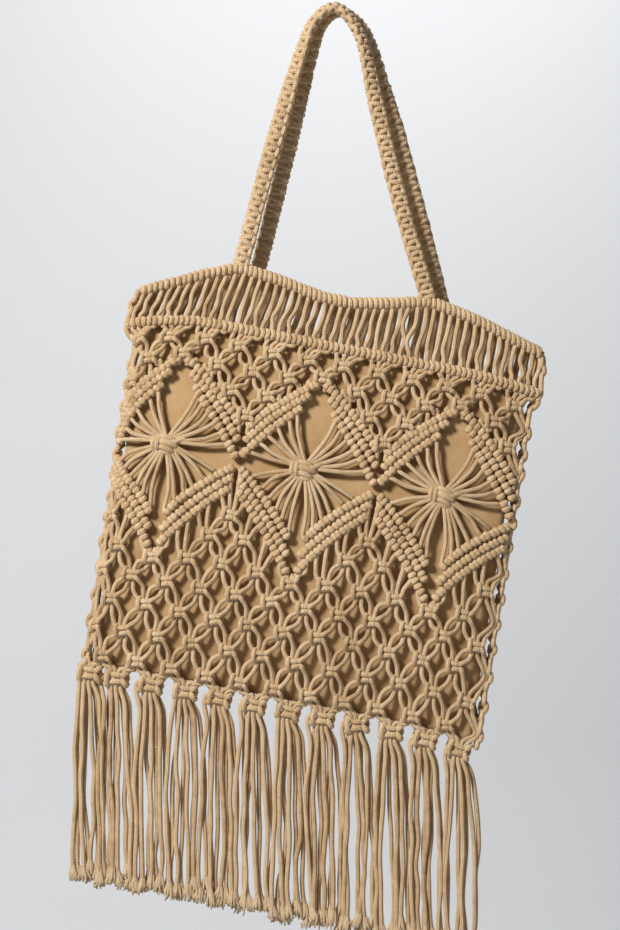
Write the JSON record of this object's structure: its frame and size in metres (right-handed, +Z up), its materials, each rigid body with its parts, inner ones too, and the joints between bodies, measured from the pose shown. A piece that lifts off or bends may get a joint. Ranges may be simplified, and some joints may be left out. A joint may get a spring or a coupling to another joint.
{
  "type": "macrame shoulder bag",
  "caption": "Flat knotted cord shoulder bag with two braided handles, a row of knotted diamonds, a thin lining and a long fringe, hanging by its handles.",
  "frame": {"origin": "the point where it hangs: on the hook's top line, under the middle of the two handles' tops", "axes": "+Z up, +Y from the front panel to the back panel, +X to the right as seen from in front"},
  "size_m": [0.4684, 0.052, 0.9401],
  "materials": {
    "cord": "matt twisted cotton",
    "lining": "matt brushed cloth"
  },
  "bodies": {
    "root": {"handle_front": "cord", "handle_back": "cord", "front_hem_bar": "cord", "back_hem_bar": "cord", "front_ladder": "cord", "back_ladder": "cord", "front_upper_bar": "cord", "back_upper_bar": "cord", "front_net_upper": "cord", "back_net_upper": "cord", "front_diamond_left": "cord", "front_diamond_middle": "cord", "front_diamond_right": "cord", "back_diamond_left": "cord", "back_diamond_middle": "cord", "back_diamond_right": "cord", "front_net_lower": "cord", "back_net_lower": "cord", "side_seam_left": "cord", "side_seam_right": "cord", "lining_pouch": "lining", "tassel_01": "cord", "tassel_02": "cord", "tassel_03": "cord", "tassel_04": "cord", "tassel_05": "cord", "tassel_06": "cord", "tassel_07": "cord", "tassel_08": "cord", "tassel_09": "cord", "tassel_10": "cord", "tassel_11": "cord", "tassel_12": "cord"}
  },
  "joints": []
}
